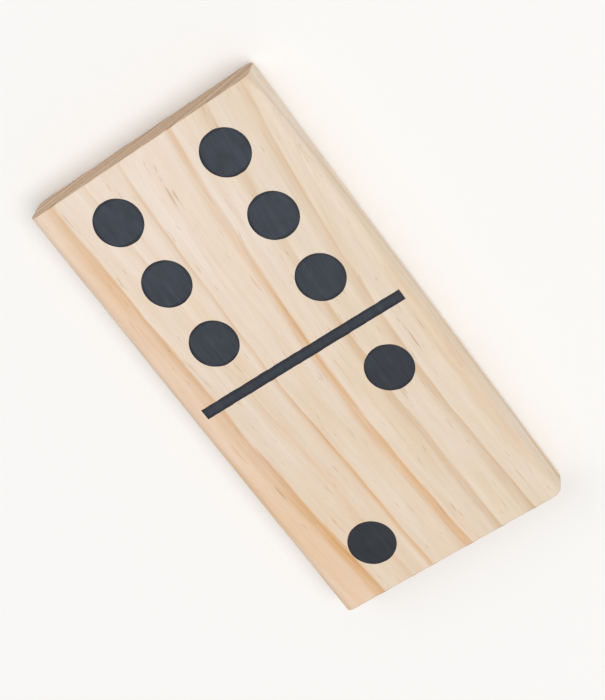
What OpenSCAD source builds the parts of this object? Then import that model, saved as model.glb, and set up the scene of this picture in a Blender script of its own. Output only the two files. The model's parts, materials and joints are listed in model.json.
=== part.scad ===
// Giant garden domino tile: one planed pine block with a printed six and a printed two.
// X runs along the tile from the six half to the two half, Z points out of the printed face.
// The origin is the centre of the plain back face. With the six half at the top and the
// printed face towards the viewer, left is -Y and right is +Y.

/* [Block] */
// Length of the tile, along X
tile_length = 150; // [148:1:160]
// Width of the tile, along Y, half the length
tile_width = 75; // [74:1:80]
// Thickness of the planed board, along Z
tile_thickness = 13; // [11:0.5:20]
// Radius planed onto the four long arrises
arris_radius = 3; // [1:0.5:4]

/* [Printed marks] */
// Thickness of the ink film that stands on the wood
ink_thickness = 0.1; // [0.05:0.05:0.3]
// Diameter of a pip
pip_diameter = 14.3; // [8:0.1:15]
// Distance from one pip to the next, along the tile
pip_pitch = 21.8; // [16:0.1:22]
// Distance between the two rows of pips, across the tile
pip_row_gap = 36.6; // [30:0.1:40]
// Distance from the middle of the print to the middle pip of each half
half_centre_distance = 38.2; // [36:0.1:39]
// Length of the divider bar, across the tile
divider_length = 68; // [40:1:70]
// Width of the divider bar, along the tile
divider_width = 3.4; // [1:0.1:5]
// How far the whole print sits off the middle of the block, along the tile
print_shift_x = -0.9; // [-1.5:0.1:1.5]
// How far the whole print sits off the middle of the block, across the tile
print_shift_y = 1.1; // [-1.5:0.1:1.5]

/* [Hidden] */
$fn = 96;

// Pip places along X, counted from the divider bar, and across Y
inner_pip = half_centre_distance - pip_pitch;
middle_pip = half_centre_distance;
outer_pip = half_centre_distance + pip_pitch;
right_row = pip_row_gap / 2;
left_row = -right_row;

// Cross-section of the board, with its four corners rounded, seen along the tile
module board_section(width, thickness, radius) {
    square([width - 2 * radius, thickness], center = true);
    square([width, thickness - 2 * radius], center = true);
    for (side = [-1, 1], face = [-1, 1]) {
        translate([side * (width / 2 - radius), face * (thickness / 2 - radius)]) circle(r = radius);
    }
}

// A straight length of that section along X, grown outwards by skin, on the back face's plane
module board(length, skin = 0) {
    translate([0, 0, tile_thickness / 2])
        rotate([90, 0, 90])
            linear_extrude(height = length, center = true)
                board_section(tile_width + 2 * skin, tile_thickness + 2 * skin, arris_radius + skin);
}

// The coat of ink that lies inside a footprint: it follows the face and the rounded arris
module ink_coat() {
    intersection() {
        difference() {
            board(tile_length, ink_thickness);
            board(2 * tile_length);
        }
        translate([print_shift_x, print_shift_y, tile_thickness]) children();
    }
}

// One round pip of ink on the flat of the face, at a place counted from the middle of the print
module ink_pip(x, y) {
    translate([print_shift_x + x, print_shift_y + y, tile_thickness])
        cylinder(d = pip_diameter, h = ink_thickness);
}

module pine_block() {
    color("burlywood") board(tile_length);
}

module divider_bar() {
    color("darkslategray")
        ink_coat() cube([divider_width, divider_length, tile_thickness], center = true);
}

module six_pip_outer_left() {
    color("darkslategray") ink_pip(-outer_pip, left_row);
}

module six_pip_middle_left() {
    color("darkslategray") ink_pip(-middle_pip, left_row);
}

module six_pip_inner_left() {
    color("darkslategray") ink_pip(-inner_pip, left_row);
}

module six_pip_outer_right() {
    color("darkslategray") ink_pip(-outer_pip, right_row);
}

module six_pip_middle_right() {
    color("darkslategray") ink_pip(-middle_pip, right_row);
}

module six_pip_inner_right() {
    color("darkslategray") ink_pip(-inner_pip, right_row);
}

module two_pip_inner_right() {
    color("darkslategray") ink_pip(inner_pip, right_row);
}

module two_pip_outer_left() {
    color("darkslategray") ink_pip(outer_pip, left_row);
}

pine_block();
divider_bar();
six_pip_outer_left();
six_pip_middle_left();
six_pip_inner_left();
six_pip_outer_right();
six_pip_middle_right();
six_pip_inner_right();
two_pip_inner_right();
two_pip_outer_left();
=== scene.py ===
"""Looks for the giant pine domino tile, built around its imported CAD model.

Lengths are in millimetres until a mesh is made, because wood grain is easiest to read that way.
The wood is one solid field of growth rings. Its relief, its colour on the face and on the edges, and
the arcs on the sawn ends all come from that field, and the printed ink follows the relief.
"""

import json
import math
from collections import namedtuple

import bmesh
import bpy
import numpy as np
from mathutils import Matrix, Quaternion, Vector, noise


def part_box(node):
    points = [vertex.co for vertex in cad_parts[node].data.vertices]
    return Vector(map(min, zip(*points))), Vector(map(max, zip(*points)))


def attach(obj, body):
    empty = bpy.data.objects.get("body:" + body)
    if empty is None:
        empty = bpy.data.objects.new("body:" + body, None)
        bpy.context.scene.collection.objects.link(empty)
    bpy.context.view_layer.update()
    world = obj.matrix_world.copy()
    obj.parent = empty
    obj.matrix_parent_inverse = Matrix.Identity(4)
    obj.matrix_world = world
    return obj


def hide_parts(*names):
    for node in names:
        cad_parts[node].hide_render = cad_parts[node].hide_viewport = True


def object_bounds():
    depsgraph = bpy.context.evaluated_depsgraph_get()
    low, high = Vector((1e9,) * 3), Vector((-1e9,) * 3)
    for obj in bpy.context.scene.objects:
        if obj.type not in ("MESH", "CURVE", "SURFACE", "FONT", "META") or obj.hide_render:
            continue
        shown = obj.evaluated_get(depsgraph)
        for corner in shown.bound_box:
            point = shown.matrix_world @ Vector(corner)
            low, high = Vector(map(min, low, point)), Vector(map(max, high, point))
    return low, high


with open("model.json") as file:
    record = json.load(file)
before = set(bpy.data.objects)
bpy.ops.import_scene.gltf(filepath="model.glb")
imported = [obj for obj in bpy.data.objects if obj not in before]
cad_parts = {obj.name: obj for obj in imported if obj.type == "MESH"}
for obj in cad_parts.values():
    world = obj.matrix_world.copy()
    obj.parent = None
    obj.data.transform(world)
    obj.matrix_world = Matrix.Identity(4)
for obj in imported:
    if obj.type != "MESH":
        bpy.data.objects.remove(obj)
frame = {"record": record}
cad_low, cad_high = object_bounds()

MM = 0.001

# ---------------------------------------------------------------- sizes, in millimetres
BLOCK_LOW, BLOCK_HIGH = (np.array(corner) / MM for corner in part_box("pine_block"))
LENGTH, WIDTH, THICKNESS = BLOCK_HIGH - BLOCK_LOW
ARRIS_RADIUS = 3.0      # planed onto the four long arrises
END_EASE = 0.6          # sandpaper's rounding of the sawn ends' edges
GRID = 0.6              # spacing of the block's vertices
EASE_STEPS = 4          # vertices round an eased edge
ARRIS_STEPS = 9         # vertices round an arris

# Growth rings: the pith runs along the tile, below its back and off to its left
PITH_Y = -75.0
PITH_Z = THICKNESS - 150.0
FIRST_RING_RADIUS = 138.0
# Each ring's width, and how dark its late wood is, from the pith outwards
RING_WIDTHS = [3.6, 3.6, 3.8, 4.0, 4.5, 3.5, 3.0, 6.3, 5.6, 6.1, 5.5, 6.1, 6.0]
RING_STRENGTHS = [0.8, 0.5, 0.9, 0.6, 1.06, 0.25, 0.62, 0.95, 0.5, 0.54, 0.3, 0.6, 0.7]
STRENGTH_MIDDLE = 0.83  # the rings' strength at the middle of the tile
STRENGTH_GAIN = 0.28    # what it gains towards the two end and loses towards the six end

# Ages within a ring, from 0 where a season's growth starts to 1 where it ends
HARD_AGES = (0.65, 0.96)    # while the late wood hardens
HARD_ENDS = (0.975, 1.0)    # while the hard wood gives way to the next ring's soft wood
STRENGTH_AGE = 0.95         # where a ring has its own strength, between those of its neighbours

# How the rings wander across the tile, in its left, middle and right parts. Lean is how far they
# drift to the right from the middle to the two end, and bow how far both ends drift alike.
LEFT_TO_MIDDLE = (-26.0, 10.0)
MIDDLE_TO_RIGHT = (10.0, 32.0)
GRAIN_LEAN = (3.4, -2.2, -3.7)
GRAIN_BOW = (0.9, 4.2, 4.2)
WANDER_SLOW = 1.1       # slow and quick irregular wandering on top
WANDER_QUICK = 0.30

# Relief, all of it cut into the CAD shape and none standing out of it
SOFT_WOOD_DEPTH = 0.07  # how far sanding sinks the soft early wood below the hard late wood
FIBRE_DEPTH = 0.03
WAVE_DEPTH = 0.12       # slow unevenness of the planed faces
ARRIS_WEAR = 0.30       # uneven sanding of the arrises
SAW_DEPTH = 0.06        # saw lines across the ends
SAW_PITCH = 1.3
SAW_STRAY = 2.5         # in radians: how far a saw line strays from its even place

# The print
INK_SOAK = 0.04         # how far the ink reaches down into the wood
INK_RIM = 0.8           # width of the zone where the coat thins towards its outline
INK_RIM_SHARE = 0.35    # share of the coat's thickness that is left at its outline
INK_BLEED = 0.10        # how far ink creeps along the grain at its outline
INK_GRID = 0.35         # spacing of a film's vertices

WELD_DISTANCE = 1e-6    # in metres: vertices closer than this become one

# ---------------------------------------------------------------- colours, as sRGB
# The first early-wood colour holds a painted sheen, laid on towards the six end; the second is the wood
# without it
EARLY_SHEENED = (238, 220, 202)
EARLY_WARM = (232, 210, 186)
RING_TAN = (222, 178, 131)
RING_CORE = (200, 141, 82)
OUTER_TAN = (212, 177, 134)
INNER_PEACH = (236, 203, 172)
OUTER_STRAW = (232, 214, 192)
STREAK_BROWN = (194, 144, 104)
END_PALE = (227, 198, 169)
END_DARK = (150, 116, 88)
# The first ink colour holds a painted sheen, laid on towards the six end; the second is the ink without it
INK_SHEENED = (55, 61, 71)
INK_DEEP = (40, 45, 51)
INK_EDGE = (36, 40, 49)
PALE_FLOOR = (250, 249, 247)


def linear(colour):
    """An sRGB colour of three numbers up to 255, as the linear RGBA that Blender's nodes take."""
    share = [channel / 255 for channel in colour]
    return tuple(((c + 0.055) / 1.055) ** 2.4 if c > 0.04045 else c / 12.92 for c in share) + (1.0,)


# ---------------------------------------------------------------- fields over points, with numpy
FIELD_SEED_STEP = 17.31     # how far one seed's noise lies from the next, in noise cells


def smooth_noise(points, size, seed):
    """Noise from about -1 to 1 at each point. Its features are size (x, y, z) millimetres across."""
    scaled = points / np.array(size, float) + seed * FIELD_SEED_STEP
    return np.array([noise.noise(Vector(p)) for p in scaled])


def unit_noise(points, size, seed):
    """The same noise, from about 0 to 1."""
    return 0.5 + 0.5 * smooth_noise(points, size, seed)


def ease(values, low, high):
    """0 below low and 1 above high, with a smooth step in between."""
    t = np.clip((values - low) / (high - low), 0, 1)
    return t * t * (3 - 2 * t)


def across_tile(points, values):
    """The value at each point, when values holds those of the left, middle and right parts."""
    left, middle, right = values
    past_left = ease(points[:, 1], *LEFT_TO_MIDDLE)
    past_middle = ease(points[:, 1], *MIDDLE_TO_RIGHT)
    return left + (middle - left) * past_left + (right - middle) * past_middle


def towards_two_end(points):
    """-1 at the six end, 0 at the middle of the tile and 1 at the two end."""
    return points[:, 0] / (LENGTH / 2)


def straight_grain(points):
    """Each point in the wood's own frame, where the grain is straight and the rings are round."""
    share = towards_two_end(points)
    wander = across_tile(points, GRAIN_LEAN) * share + across_tile(points, GRAIN_BOW) * share ** 2
    wander += WANDER_SLOW * smooth_noise(points, size=(55, 16, 16), seed=1)
    wander += WANDER_QUICK * smooth_noise(points, size=(14, 4, 4), seed=2)
    straight = points.copy()
    straight[:, 1] -= wander
    return straight


def ring_number(straight):
    """The growth ring that each straight-grain point lies in. The fraction is its age within the ring."""
    radius = np.hypot(straight[:, 1] - PITH_Y, straight[:, 2] - PITH_Z)
    edges = FIRST_RING_RADIUS + np.concatenate([[0], np.cumsum(RING_WIDTHS)])
    return np.interp(radius, edges, np.arange(len(edges)))


def late_wood(ring):
    """How dense the wood is, from 0 in early wood to 1 at the end of a season's growth."""
    age = ring % 1.0
    return ease(age, *HARD_AGES) * (1 - ease(age, *HARD_ENDS))


def wood_fields(points):
    """The named fields that the wood's relief and its material share."""
    straight = straight_grain(points)
    ring = ring_number(straight)
    own_places = np.arange(len(RING_STRENGTHS)) + STRENGTH_AGE
    strength = np.interp(ring, own_places, RING_STRENGTHS)
    strength *= STRENGTH_MIDDLE + STRENGTH_GAIN * towards_two_end(points)
    return {"grain": straight, "ring": ring, "ring_strength": strength}


def relief(points, normals, fields):
    """How far the real surface lies from the CAD surface along its normal, never above zero."""
    end = np.abs(normals[:, 0])
    late = late_wood(fields["ring"])
    arris = 1 - np.abs(np.abs(normals[:, 1]) - np.abs(normals[:, 2]))
    soft = SOFT_WOOD_DEPTH * (1 - late)
    fibre = FIBRE_DEPTH * unit_noise(fields["grain"], size=(12, 1.1, 1.1), seed=3)
    wave = WAVE_DEPTH * unit_noise(points, size=(45, 28, 28), seed=4)
    wear = ARRIS_WEAR * arris * unit_noise(points, size=(16, 9, 9), seed=5)
    stray = SAW_STRAY * smooth_noise(points, size=(9, 9, 6), seed=6)
    line = 0.5 + 0.5 * np.sin(2 * math.pi * points[:, 1] / SAW_PITCH + stray)
    bite = 0.6 + 0.4 * smooth_noise(points, size=(9, 7, 5), seed=7)
    saw = SAW_DEPTH * line * bite
    return -(soft + (1 - end) * (fibre + wave + wear) + end * saw)


# ---------------------------------------------------------------- meshes
def mesh_object(name, points, faces, fields):
    """A smooth-shaded mesh object from points in millimetres, with its fields as vertex attributes."""
    mesh = bpy.data.meshes.new(name)
    mesh.from_pydata((points * MM).tolist(), [], faces)
    for key, values in fields.items():
        is_vector = values.ndim == 2
        layer = mesh.attributes.new(key, "FLOAT_VECTOR" if is_vector else "FLOAT", "POINT")
        layer.data.foreach_set("vector" if is_vector else "value", values.astype(np.float32).ravel())
    weld = bmesh.new()
    weld.from_mesh(mesh)
    bmesh.ops.remove_doubles(weld, verts=weld.verts, dist=WELD_DISTANCE)
    bmesh.ops.dissolve_degenerate(weld, edges=weld.edges, dist=WELD_DISTANCE / 10)
    bmesh.ops.recalc_face_normals(weld, faces=weld.faces)
    weld.to_mesh(mesh)
    weld.free()
    mesh.shade_smooth()
    piece = bpy.data.objects.new(name, mesh)
    bpy.context.scene.collection.objects.link(piece)
    return piece


def steps(low, high, spacing):
    """Evenly spaced numbers from low up to high, high left out."""
    return np.linspace(low, high, max(2, round((high - low) / spacing)), endpoint=False)


def section_outline():
    """The board's rounded cross-section: points as (y, z) and outward normals, going round once."""
    flat_y = WIDTH / 2 - ARRIS_RADIUS
    flat_z = THICKNESS / 2 - ARRIS_RADIUS
    quarter = np.linspace(0, math.pi / 2, ARRIS_STEPS, endpoint=False)
    points, normals = [], []
    for turn in range(4):
        angle = turn * math.pi / 2
        half_run = flat_z if turn % 2 == 0 else flat_y
        reach = WIDTH / 2 if turn % 2 == 0 else THICKNESS / 2
        out = np.array([math.cos(angle), math.sin(angle)])
        along = np.array([-out[1], out[0]])
        for s in steps(-half_run, half_run, GRID):
            points.append(out * reach + along * s)
            normals.append(out)
        corner = out * (reach - ARRIS_RADIUS) + along * half_run
        for a in quarter:
            normal = out * math.cos(a) + along * math.sin(a)
            points.append(corner + normal * ARRIS_RADIUS)
            normals.append(normal)
    return np.array(points) + np.array([0, THICKNESS / 2]), np.array(normals)


def block_rings():
    """Each ring of vertices along the block, as (x, inset of the outline, share of the way to the
    middle of the end face, tilt of the normal towards the end), from one end face to the other."""
    eased = np.linspace(0, math.pi / 2, EASE_STEPS + 1)
    middle = steps(-LENGTH / 2 + END_EASE, LENGTH / 2 - END_EASE, GRID)[1:]
    inwards = np.linspace(0, 1, round(THICKNESS / 2 / GRID) + 1)[1:]
    face = [(LENGTH / 2, END_EASE, share, math.pi / 2) for share in inwards]
    edge = [
        (LENGTH / 2 - END_EASE * (1 - math.sin(a)), END_EASE * (1 - math.cos(a)), 0.0, a) for a in eased
    ]
    plus_end = edge + face
    minus_end = [(-x, inset, share, -tilt) for x, inset, share, tilt in reversed(plus_end)]
    return minus_end + [(x, 0.0, 0.0, 0.0) for x in middle] + plus_end


def block_surface():
    """The CAD block's surface as points, outward normals and faces, dense enough to carry relief."""
    outline, outward = section_outline()
    count = len(outline)
    core_y = np.clip(outline[:, 0], -(WIDTH - THICKNESS) / 2, (WIDTH - THICKNESS) / 2)
    core = np.column_stack([core_y, np.full(count, THICKNESS / 2)])
    points, normals = [], []
    for x, inset, share, tilt in block_rings():
        edge = outline - outward * inset
        place = edge + (core - edge) * share
        points.append(np.column_stack([np.full(count, x), place]))
        lean = np.full(count, math.sin(tilt))
        normals.append(np.column_stack([lean, outward * math.cos(tilt)]))
    faces = []
    for ring in range(len(points) - 1):
        for k in range(count):
            here, there = ring * count + k, (ring + 1) * count + k
            step = (k + 1) % count - k
            faces.append((here, here + step, there + step, there))
    return np.concatenate(points), np.concatenate(normals), faces


def build_block():
    """The pine block, with relief that the growth rings, the planer, the saw and handling left."""
    points, normals, faces = block_surface()
    fields = wood_fields(points)
    fields["end_grain"] = np.abs(normals[:, 0])
    depth = relief(points, normals, fields)
    return mesh_object("pine_block_wood", points + normals * depth[:, None], faces, fields)


def face_surface(flat):
    """Points and normals of the CAD block's printed side, above each (x, y), round the arris as well."""
    beyond = np.clip(np.abs(flat[:, 1]) - (WIDTH / 2 - ARRIS_RADIUS), 0, ARRIS_RADIUS)
    sine = beyond / ARRIS_RADIUS
    cosine = np.sqrt(1 - sine ** 2)
    z = THICKNESS - ARRIS_RADIUS * (1 - cosine)
    normals = np.column_stack([np.zeros(len(flat)), np.sign(flat[:, 1]) * sine, cosine])
    return np.column_stack([flat, z]), normals


def disc_from_square(square):
    """Points of the square from -1 to 1 moved evenly onto the unit disc."""
    u, v = square[:, 0], square[:, 1]
    return np.column_stack([u * np.sqrt(1 - v ** 2 / 2), v * np.sqrt(1 - u ** 2 / 2)])


def build_film(node, is_round):
    """A printed mark: a thin closed coat of ink that follows the wood and creeps along its grain."""
    low, high = (np.array(corner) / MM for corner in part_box(node))
    centre, half = (low + high)[:2] / 2, (high - low)[:2] / 2
    coat = cad_high[2] / MM - BLOCK_HIGH[2]
    columns, rows = (round(2 * h / INK_GRID) for h in half)
    u, v = np.meshgrid(np.linspace(-1, 1, columns + 1), np.linspace(-1, 1, rows + 1))
    square = np.column_stack([u.ravel(), v.ravel()])
    from_rim = ((1 - np.abs(square)) * half).min(axis=1)
    shape = disc_from_square(square) if is_round else square
    flat = centre + shape * half
    inside = ease(from_rim, 0.0, INK_RIM)
    crept = smooth_noise(np.column_stack([flat, np.zeros(len(flat))]), size=(4.0, 2.0, 1.0), seed=8)
    flat[:, 0] += INK_BLEED * crept * shape[:, 0] * (1 - inside)
    points, normals = face_surface(flat)
    fields = wood_fields(points)
    depth = relief(points, normals, fields)
    wood = points + normals * depth[:, None]
    height = coat * (INK_RIM_SHARE + (1 - INK_RIM_SHARE) * inside)
    top = wood + normals * height[:, None]
    bottom = wood - normals * INK_SOAK
    both = {key: np.concatenate([values, values]) for key, values in fields.items()}
    both["from_rim"] = np.concatenate([from_rim, from_rim])
    return mesh_object(node + "_print", np.concatenate([top, bottom]), film_faces(columns, rows), both)


def film_faces(columns, rows):
    """Faces of a closed film: a grid on top, the same grid below, and a wall round their border."""
    def index(i, j, layer):
        return layer * (columns + 1) * (rows + 1) + j * (columns + 1) + i

    faces = []
    for j in range(rows):
        for i in range(columns):
            corners = [(i, j), (i + 1, j), (i + 1, j + 1), (i, j + 1)]
            faces.append([index(*corner, 0) for corner in corners])
            faces.append([index(*corner, 1) for corner in reversed(corners)])
    border = [(i, 0) for i in range(columns)] + [(columns, j) for j in range(rows)]
    border += [(i, rows) for i in range(columns, 0, -1)] + [(0, j) for j in range(rows, 0, -1)]
    for here, there in zip(border, border[1:] + border[:1]):
        faces.append([index(*there, 0), index(*here, 0), index(*here, 1), index(*there, 1)])
    return faces


# ---------------------------------------------------------------- materials
# Ages within a ring again, for its two dark tones
SOFT_AGES = (0.74, 1.02)    # while the late wood darkens softly
CORE_AGES = (0.84, 0.93)    # while its darkest line sets in
DARK_ENDS = (0.93, 0.995)   # while both give way to the next ring's pale wood
SOONER_STRONG = 0.095       # how much sooner the soft tone comes in a ring of full strength
SOONER_OUTER = 0.10         # and in the outer wood
RING_WOBBLE = 0.08          # in rings: how far the tones wander from the ring itself
RING_RAGGED = 0.09          # in rings: how ragged their edges are
RING_COMB = 1.5             # how strongly fine lines along the rings comb the soft tone
RING_WANE = 0.9             # how strongly the soft tone comes and goes along the grain

# Where the wood's tint and a painted sheen change
PEACH_ENDS = (4.8, 5.0)         # in rings from the pith outwards
STRAW_STARTS = (7.8, 9.0)
# Painted sheen: where the paler early wood of the six end gives way to the warmer wood
SHEEN_FADES = (-60.0, 45.0)     # in millimetres along the grain from the tile's middle
SHEEN_STRAY = 90.0               # and how far noise moves that place
# Painted sheen: where the paler ink of the six end gives way to its deeper slate
INK_SHEEN_FADES = (-50.0, 65.0)     # the same for the ink's deeper slate
END_STARTS = (0.4, 0.9)         # as the part of the surface's normal that points along the tile

# How fully a tint or a mark covers the colour below it, from 0 to 1
PEACH_SHARE = 0.6
STRAW_SHARE = 0.8
LINE_SHARE = 0.40
CORE_SHARE = 0.5
RESIN_SHARE = 0.55
SHORT_RESIN_SHARE = 0.7
RAY_SHARE = 0.30
END_SHARE = 0.27        # the sawn end's darkness between its rings

PINE_ROUGHNESS = 0.60
PINE_IOR = 1.40         # index of refraction, which sets how strongly the wood shines
PINE_BUMP = 0.08        # in millimetres: fibres too fine for the mesh, which only the shading shows
INK_ROUGHNESS = 0.56
INK_IOR = 1.42
INK_BUMP = 0.05
INK_DENSE = (0.3, 1.3)  # in millimetres from the outline: where the denser ink of the rim ends
FLOOR_ROUGHNESS = 0.9
FLOOR_SHINE = 0.1

SHADER_SEED_STEP = (3.7, 5.3, 7.9)  # how far one seed's noise lies from the next, in noise cells


class Number:
    """A number in a material's node tree. Arithmetic with it adds Math nodes."""

    def __init__(self, tree, socket):
        self.tree = tree
        self.socket = socket

    def math(self, operation, *others):
        """The result of a Math node with this number first and the others after it."""
        node = self.tree.nodes.new("ShaderNodeMath")
        node.operation = operation
        for slot, value in zip(node.inputs, (self, *others)):
            plug(self.tree, value, slot)
        return Number(self.tree, node.outputs[0])

    def __add__(self, other):
        return self.math("ADD", other)

    def __sub__(self, other):
        return self.math("SUBTRACT", other)

    def __mul__(self, other):
        return self.math("MULTIPLY", other)

    def __rsub__(self, other):
        return self.math("MULTIPLY_ADD", -1.0, other)

    __radd__ = __add__
    __rmul__ = __mul__

    def between(self, low, high):
        """0 below low and 1 above high, with a smooth step in between."""
        node = self.tree.nodes.new("ShaderNodeMapRange")
        node.interpolation_type = "SMOOTHSTEP"
        plug(self.tree, self, node.inputs["Value"])
        node.inputs["From Min"].default_value = low
        node.inputs["From Max"].default_value = high
        return Number(self.tree, node.outputs["Result"])


def plug(tree, value, slot):
    """Feeds a node's input with a Number, a socket or a plain value."""
    if isinstance(value, Number):
        value = value.socket
    if isinstance(value, bpy.types.NodeSocket):
        tree.links.new(value, slot)
    else:
        slot.default_value = value


def new_material(name):
    """A material with an empty Principled shader, as (material, tree, shader)."""
    material = bpy.data.materials.new(name)
    material.use_nodes = True
    tree = material.node_tree
    return material, tree, tree.nodes["Principled BSDF"]


def attribute(tree, name, output="Fac"):
    """A vertex attribute of the mesh, as a socket."""
    node = tree.nodes.new("ShaderNodeAttribute")
    node.attribute_name = name
    return node.outputs[output]


def stretched(tree, vector, size, seed):
    """Coordinates in which a cell size (x, y, z) millimetres across becomes one unit."""
    node = tree.nodes.new("ShaderNodeVectorMath")
    node.operation = "MULTIPLY_ADD"
    tree.links.new(vector, node.inputs[0])
    node.inputs[1].default_value = [1 / s for s in size]
    node.inputs[2].default_value = [seed * step for step in SHADER_SEED_STEP]
    return node.outputs[0]


def cloud(tree, vector, size, seed, detail=2.0, rough=0.5):
    """Noise centred on 0 and mostly within 0.5 of it. Its features are size millimetres across. Its
    between(low, high) keeps the peaks, and the higher low and high are, the fewer are left."""
    node = tree.nodes.new("ShaderNodeTexNoise")
    tree.links.new(stretched(tree, vector, size, seed), node.inputs["Vector"])
    node.inputs["Scale"].default_value = 1.0
    node.inputs["Detail"].default_value = detail
    node.inputs["Roughness"].default_value = rough
    return Number(tree, node.outputs["Fac"]) - 0.5


def mix(tree, share, first, second):
    """A colour between first and second. Each is a socket or an sRGB colour of three numbers."""
    node = tree.nodes.new("ShaderNodeMix")
    node.data_type = "RGBA"
    plug(tree, share, node.inputs[0])
    for slot, colour in ((node.inputs[6], first), (node.inputs[7], second)):
        plug(tree, linear(colour) if isinstance(colour, tuple) else colour, slot)
    return node.outputs[2]


def toned(tree, colour, value, saturation=1.0):
    """The colour with its brightness and its saturation multiplied."""
    node = tree.nodes.new("ShaderNodeHueSaturation")
    plug(tree, value, node.inputs["Value"])
    plug(tree, saturation, node.inputs["Saturation"])
    tree.links.new(colour, node.inputs["Color"])
    return node.outputs["Color"]


def bump(tree, height, depth_mm):
    """A normal for a height field of 0 to 1 that is depth_mm deep."""
    node = tree.nodes.new("ShaderNodeBump")
    plug(tree, height, node.inputs["Height"])
    node.inputs["Distance"].default_value = depth_mm * MM
    return node.outputs["Normal"]


def set_surface(tree, shader, colour, roughness, ior, normal):
    """Gives a Principled shader its colour, its roughness, its index of refraction and its normal."""
    tree.links.new(colour, shader.inputs["Base Color"])
    plug(tree, roughness, shader.inputs["Roughness"])
    shader.inputs["IOR"].default_value = ior
    tree.links.new(normal, shader.inputs["Normal"])


def along_grain(tree, grain):
    """How far along the grain a point lies, in millimetres from the middle towards the two end."""
    split = tree.nodes.new("ShaderNodeSeparateXYZ")
    tree.links.new(grain, split.inputs[0])
    return Number(tree, split.outputs["X"])


def along_rings(tree, grain, ring, length, per_ring, seed):
    """Noise in lines that follow the growth rings: so many to a ring, each length millimetres long."""
    place = tree.nodes.new("ShaderNodeCombineXYZ")
    plug(tree, along_grain(tree, grain) * (1 / length), place.inputs["X"])
    plug(tree, ring * per_ring, place.inputs["Y"])
    return cloud(tree, place.outputs[0], size=(1, 1, 1), seed=seed)


Rings = namedtuple("Rings", "number soft core outer")


def ring_shade(tree, grain):
    """The rings for a shader: the ring number, the soft darkening of late wood, its darkest line, and
    how far out of the warm inner wood a point lies, from 0 to 1."""
    wobble = cloud(tree, grain, size=(22, 1.5, 1.5), seed=1, detail=3.0)
    ragged = cloud(tree, grain, size=(9, 0.32, 0.32), seed=18)
    number = Number(tree, attribute(tree, "ring")) + RING_WOBBLE * wobble + RING_RAGGED * ragged
    outer = number.between(*STRAW_STARTS)
    age = number.math("FRACT")
    late = 1.0 - age.between(*DARK_ENDS)
    strength = Number(tree, attribute(tree, "ring_strength"))
    combed = 1.0 + RING_COMB * along_rings(tree, grain, number, length=24.0, per_ring=17.0, seed=17)
    waning = 1.0 + RING_WANE * cloud(tree, grain, size=(48, 14, 14), seed=14)
    waxing = cloud(tree, grain, size=(34, 11, 11), seed=15, detail=3.0).between(-0.12, 0.25)
    sooner = age + SOONER_STRONG * strength + SOONER_OUTER * outer
    soft = sooner.between(*SOFT_AGES) * late * strength * combed * waning
    core = age.between(*CORE_AGES) * late * strength * waxing
    return Rings(number, soft, core, outer)


def resin_streaks(tree, grain):
    """Short dark resin canals along the grain, from 0 to 1: long ones in crowds and short ones all over."""
    crowd = cloud(tree, grain, size=(36, 10, 10), seed=5).between(-0.10, 0.20)
    long_ones = cloud(tree, grain, size=(11, 1.0, 1.0), seed=6, detail=1.0).between(0.16, 0.27)
    short_ones = cloud(tree, grain, size=(5.5, 0.75, 0.75), seed=7, detail=1.0).between(0.19, 0.30)
    return (long_ones * crowd).math("MAXIMUM", SHORT_RESIN_SHARE * short_ones)


def face_colour(tree, grain, rings, faint_lines):
    """The planed wood's colour: slow tints and a painted sheen, then faint lines within the rings, then the
    rings.
    """
    # Painted sheen: the early wood is paler towards the six end
    to_two_end = along_grain(tree, grain) + SHEEN_STRAY * cloud(tree, grain, size=(60, 12, 12), seed=2)
    colour = mix(tree, to_two_end.between(*SHEEN_FADES), EARLY_SHEENED, EARLY_WARM)
    inner = 1.0 - rings.number.between(*PEACH_ENDS)
    colour = mix(tree, PEACH_SHARE * inner, colour, INNER_PEACH)
    colour = mix(tree, STRAW_SHARE * rings.outer, colour, OUTER_STRAW)
    tan = mix(tree, rings.outer, RING_TAN, OUTER_TAN)
    colour = mix(tree, rings.soft + LINE_SHARE * faint_lines, colour, tan)
    return mix(tree, CORE_SHARE * rings.core, colour, RING_CORE)


def end_colour(tree, grain, rings, lines):
    """The sawn end's colour: darker than the face, with the rings as arcs and pale rays across them."""
    dark = END_SHARE + 1.3 * rings.soft + CORE_SHARE * rings.core + 1.5 * lines
    ray = cloud(tree, grain, size=(60, 0.5, 3.0), seed=8).between(-0.1, 0.4)
    return mix(tree, RAY_SHARE * ray, mix(tree, dark, END_PALE, END_DARK), END_PALE)


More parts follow.
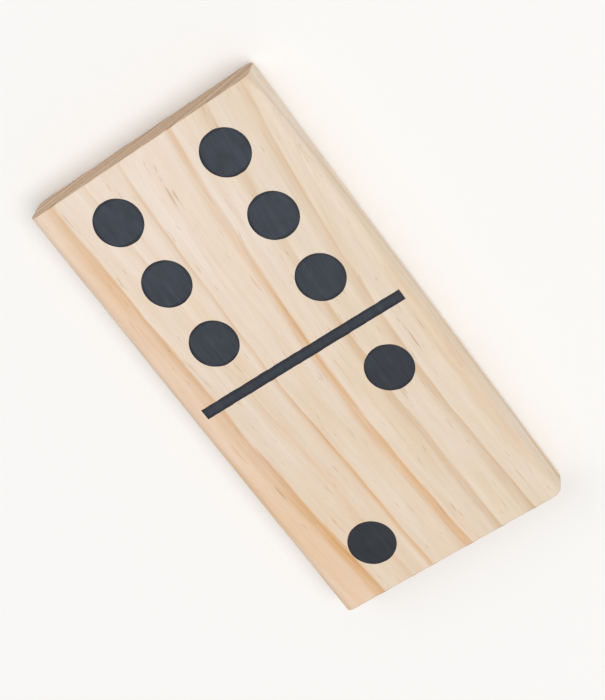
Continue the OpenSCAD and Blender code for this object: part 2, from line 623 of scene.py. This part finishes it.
def pine_material():
    """Planed pine: cream early wood, tan late wood with a darker line, resin streaks and sawn ends."""
    material, tree, shader = new_material("pine")
    grain = attribute(tree, "grain", "Vector")
    end = Number(tree, attribute(tree, "end_grain")).between(*END_STARTS)
    rings = ring_shade(tree, grain)
    lines = along_rings(tree, grain, rings.number, length=70.0, per_ring=7.0, seed=16)
    faint_lines = lines.between(0.10, 0.36) * (1.0 - end)
    resin = resin_streaks(tree, grain) * (1.0 - end)

    fibre = cloud(tree, grain, size=(11, 0.45, 0.45), seed=3, detail=3.0, rough=0.6)
    streak = cloud(tree, grain, size=(30, 2.6, 2.6), seed=4, detail=3.0, rough=0.55)
    tint = cloud(tree, grain, size=(45, 7, 7), seed=19)
    value = 1.0 + 0.12 * fibre + 0.15 * streak
    saturation = 1.0 - 0.6 * streak + 0.5 * tint
    colour = toned(tree, face_colour(tree, grain, rings, faint_lines), value, saturation)
    colour = mix(tree, RESIN_SHARE * resin, colour, STREAK_BROWN)
    colour = mix(tree, end, colour, end_colour(tree, grain, rings, lines))

    roughness = PINE_ROUGHNESS + 0.20 * end + 0.16 * fibre - 0.08 * rings.soft
    height = cloud(tree, grain, size=(6, 0.22, 0.22), seed=9) + 0.5 * rings.soft - 0.3 * resin
    set_surface(tree, shader, colour, roughness, PINE_IOR, bump(tree, height, PINE_BUMP))
    return material


def ink_material():
    """Matt slate ink with a painted sheen towards the six end, denser at its rim, with the fibres and the
    hard rings just showing through.
    """
    material, tree, shader = new_material("slate_ink")
    grain = attribute(tree, "grain", "Vector")
    rings = ring_shade(tree, grain)
    fibre = cloud(tree, grain, size=(6, 0.40, 0.40), seed=11, detail=3.0, rough=0.6)
    blotch = cloud(tree, grain, size=(4.5, 2.0, 2.0), seed=12, detail=3.0)
    rim = 1.0 - Number(tree, attribute(tree, "from_rim")).between(*INK_DENSE)

    # Painted sheen: the ink is paler towards the six end
    colour = mix(tree, along_grain(tree, grain).between(*INK_SHEEN_FADES), INK_SHEENED, INK_DEEP)
    colour = mix(tree, rim, colour, INK_EDGE)
    colour = toned(tree, colour, 1.0 + 0.60 * fibre + 0.75 * blotch + 0.10 * rings.soft)

    roughness = INK_ROUGHNESS + 0.25 * fibre + 0.10 * blotch
    height = fibre + 0.4 * rings.soft + 0.3 * rings.core
    set_surface(tree, shader, colour, roughness, INK_IOR, bump(tree, height, INK_BUMP))
    return material


def floor_material():
    """A plain pale matt floor."""
    material, _, shader = new_material("pale_floor")
    shader.inputs["Base Color"].default_value = linear(PALE_FLOOR)
    shader.inputs["Roughness"].default_value = FLOOR_ROUGHNESS
    shader.inputs["Specular IOR Level"].default_value = FLOOR_SHINE
    return material


# ---------------------------------------------------------------- stage
FLOOR_SIZE = 40000.0
SKY_GLOW = 0.468        # strength of the even light from all round
VIEW_AZIMUTH = 223.3    # from beyond the six end and the right edge; 0 would look along +Y
VIEW_ELEVATION = 63.5
VIEW_ROLL = 192.0       # turns the picture about its middle, so that the near corner is at its top
VIEW_DISTANCE = 600.0
VIEW_LENS = 110.0


def direction(azimuth, elevation):
    """A unit vector from the object towards a viewer. Azimuth 0 looks along +Y and 90 along -X."""
    a, e = math.radians(azimuth), math.radians(elevation)
    return Vector((math.sin(a) * math.cos(e), -math.cos(a) * math.cos(e), math.sin(e)))


def add_floor():
    """The plain floor that the tile lies on."""
    half = FLOOR_SIZE / 2 * MM
    mesh = bpy.data.meshes.new("floor")
    z = cad_low[2]
    corners = [(-half, -half, z), (half, -half, z), (half, half, z), (-half, half, z)]
    mesh.from_pydata(corners, [], [(0, 1, 2, 3)])
    floor = bpy.data.objects.new("floor", mesh)
    bpy.context.scene.collection.objects.link(floor)
    mesh.materials.append(floor_material())


def add_camera():
    """A camera aimed at the tile's middle from the viewing angle."""
    camera = bpy.data.objects.new("camera", bpy.data.cameras.new("camera"))
    bpy.context.scene.collection.objects.link(camera)
    camera.data.lens = VIEW_LENS
    back = direction(VIEW_AZIMUTH, VIEW_ELEVATION)
    centre = (cad_low + cad_high) / 2
    camera.location = centre + back * VIEW_DISTANCE * MM
    level = (-back).to_track_quat("-Z", "Y")
    camera.rotation_mode = "QUATERNION"
    camera.rotation_quaternion = level @ Quaternion((0, 0, 1), math.radians(VIEW_ROLL))
    bpy.context.scene.camera = camera


def add_softbox(name, azimuth, elevation, distance, size, power):
    """A round soft lamp aimed at the tile, with its distance and size in millimetres and power in watts."""
    lamp = bpy.data.lights.new(name, "AREA")
    lamp.shape = "DISK"
    lamp.size = size * MM
    lamp.energy = power
    light = bpy.data.objects.new(name, lamp)
    bpy.context.scene.collection.objects.link(light)
    towards = direction(azimuth, elevation)
    light.location = towards * distance * MM
    light.rotation_mode = "QUATERNION"
    light.rotation_quaternion = towards.to_track_quat("Z", "Y")


def studio_world():
    """Even light from all round, behind a backdrop that the camera sees in the floor's colour."""
    world = bpy.data.worlds.new("studio")
    world.use_nodes = True
    tree = world.node_tree
    glow = tree.nodes["Background"]
    glow.inputs["Color"].default_value = (1.0, 1.0, 1.0, 1.0)
    glow.inputs["Strength"].default_value = SKY_GLOW
    backdrop = tree.nodes.new("ShaderNodeBackground")
    backdrop.inputs["Color"].default_value = linear(PALE_FLOOR)
    seen = tree.nodes.new("ShaderNodeMixShader")
    tree.links.new(tree.nodes.new("ShaderNodeLightPath").outputs["Is Camera Ray"], seen.inputs["Fac"])
    tree.links.new(glow.outputs[0], seen.inputs[1])
    tree.links.new(backdrop.outputs[0], seen.inputs[2])
    tree.links.new(seen.outputs[0], tree.nodes["World Output"].inputs["Surface"])
    return world


def add_light():
    """Soft studio light that keeps the colours as they are written above."""
    bpy.context.scene.world = studio_world()
    add_softbox("key", azimuth=165, elevation=68, distance=8000, size=6400, power=355)
    add_softbox("fill", azimuth=300, elevation=40, distance=9600, size=7200, power=125)
    bpy.context.scene.view_settings.view_transform = "Standard"


# ---------------------------------------------------------------- the object
def place(piece, node, material, slot):
    """Puts a finished piece on the tile's one body, in the place of its CAD node."""
    piece.data.materials.append(material)
    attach(piece, "root")
    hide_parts(node)


place(build_block(), "pine_block", pine_material(), "pine")
ink = ink_material()
for subpart in frame["record"]["subparts"]:
    if subpart["material_slot"] == "ink":
        node = subpart["node"]
        place(build_film(node, is_round="pip" in node), node, ink, "ink")

add_floor()
add_light()
add_camera()
